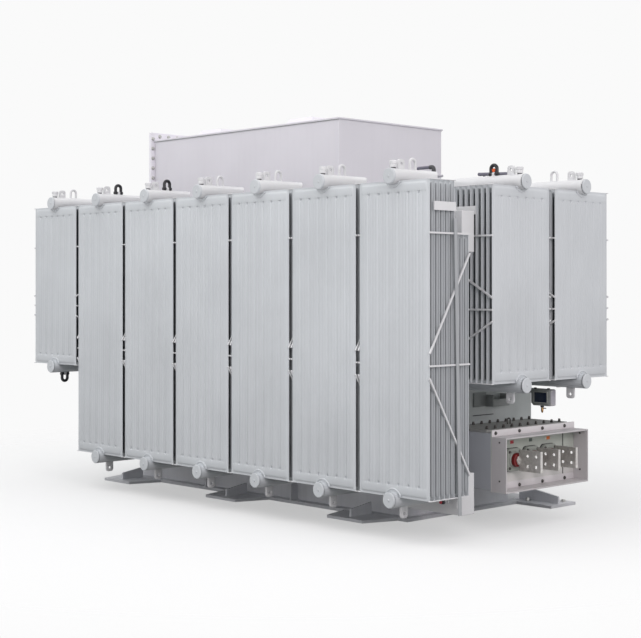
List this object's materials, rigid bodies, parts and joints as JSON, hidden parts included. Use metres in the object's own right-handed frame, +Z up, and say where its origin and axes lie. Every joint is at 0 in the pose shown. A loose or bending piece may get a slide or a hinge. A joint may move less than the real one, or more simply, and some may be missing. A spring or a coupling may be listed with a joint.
{
  "type": "oil-filled power transformer",
  "caption": "Oil-filled power transformer: a long steel tank between banks of fluted panel radiators, with a box enclosure on top and an open low-voltage terminal box at one end.",
  "frame": {"origin": "on the floor, in the middle of the overall box", "axes": "+X along the tank towards the low-voltage terminal box, +Y from the front radiator bank to the rear one, +Z up"},
  "size_m": [4.3744, 2.254, 2.512],
  "materials": {
    "grey_paint": "satin",
    "radiator_paint": "satin",
    "base_paint": "satin",
    "terminal_box_paint": "satin",
    "bushing_resin": "gloss",
    "tinned_metal": "dull tin plate",
    "gauge_case": "matte"
  },
  "bodies": {
    "root": {"tank_body": "grey_paint", "tank_cover": "grey_paint", "base_frame": "base_paint", "front_foot_left": "base_paint", "rear_foot_left": "base_paint", "front_foot_middle": "base_paint", "rear_foot_middle": "base_paint", "front_foot_right": "base_paint", "rear_foot_right": "base_paint", "end_foot": "base_paint", "front_radiator_1": "radiator_paint", "rear_radiator_1": "radiator_paint", "front_radiator_2": "radiator_paint", "rear_radiator_2": "radiator_paint", "front_radiator_3": "radiator_paint", "rear_radiator_3": "radiator_paint", "front_radiator_4": "radiator_paint", "rear_radiator_4": "radiator_paint", "front_radiator_5": "radiator_paint", "rear_radiator_5": "radiator_paint", "front_radiator_6": "radiator_paint", "rear_radiator_6": "radiator_paint", "front_radiator_7": "radiator_paint", "rear_radiator_7": "radiator_paint", "front_tank_pipes": "radiator_paint", "rear_tank_pipes": "radiator_paint", "end_radiator_1": "radiator_paint", "end_radiator_2": "radiator_paint", "end_tank_pipes": "radiator_paint", "front_upper_collector": "radiator_paint", "front_lower_duct": "radiator_paint", "rear_upper_collector": "radiator_paint", "rear_lower_duct": "radiator_paint", "front_braces": "radiator_paint", "rear_braces": "radiator_paint", "end_braces": "radiator_paint", "front_side_rail": "radiator_paint", "rear_side_rail": "radiator_paint", "top_enclosure": "grey_paint", "top_enclosure_lid": "grey_paint", "top_end_flange": "grey_paint", "top_hatches": "grey_paint", "lv_trunk": "terminal_box_paint", "lv_trunk_lid": "terminal_box_paint", "lv_back_panel": "terminal_box_paint", "lv_frame": "terminal_box_paint", "lv_bushing_1": "bushing_resin", "lv_bushing_2": "bushing_resin", "lv_bushing_3": "bushing_resin", "lv_flags": "tinned_metal", "gauge": "gauge_case"}
  },
  "joints": []
}
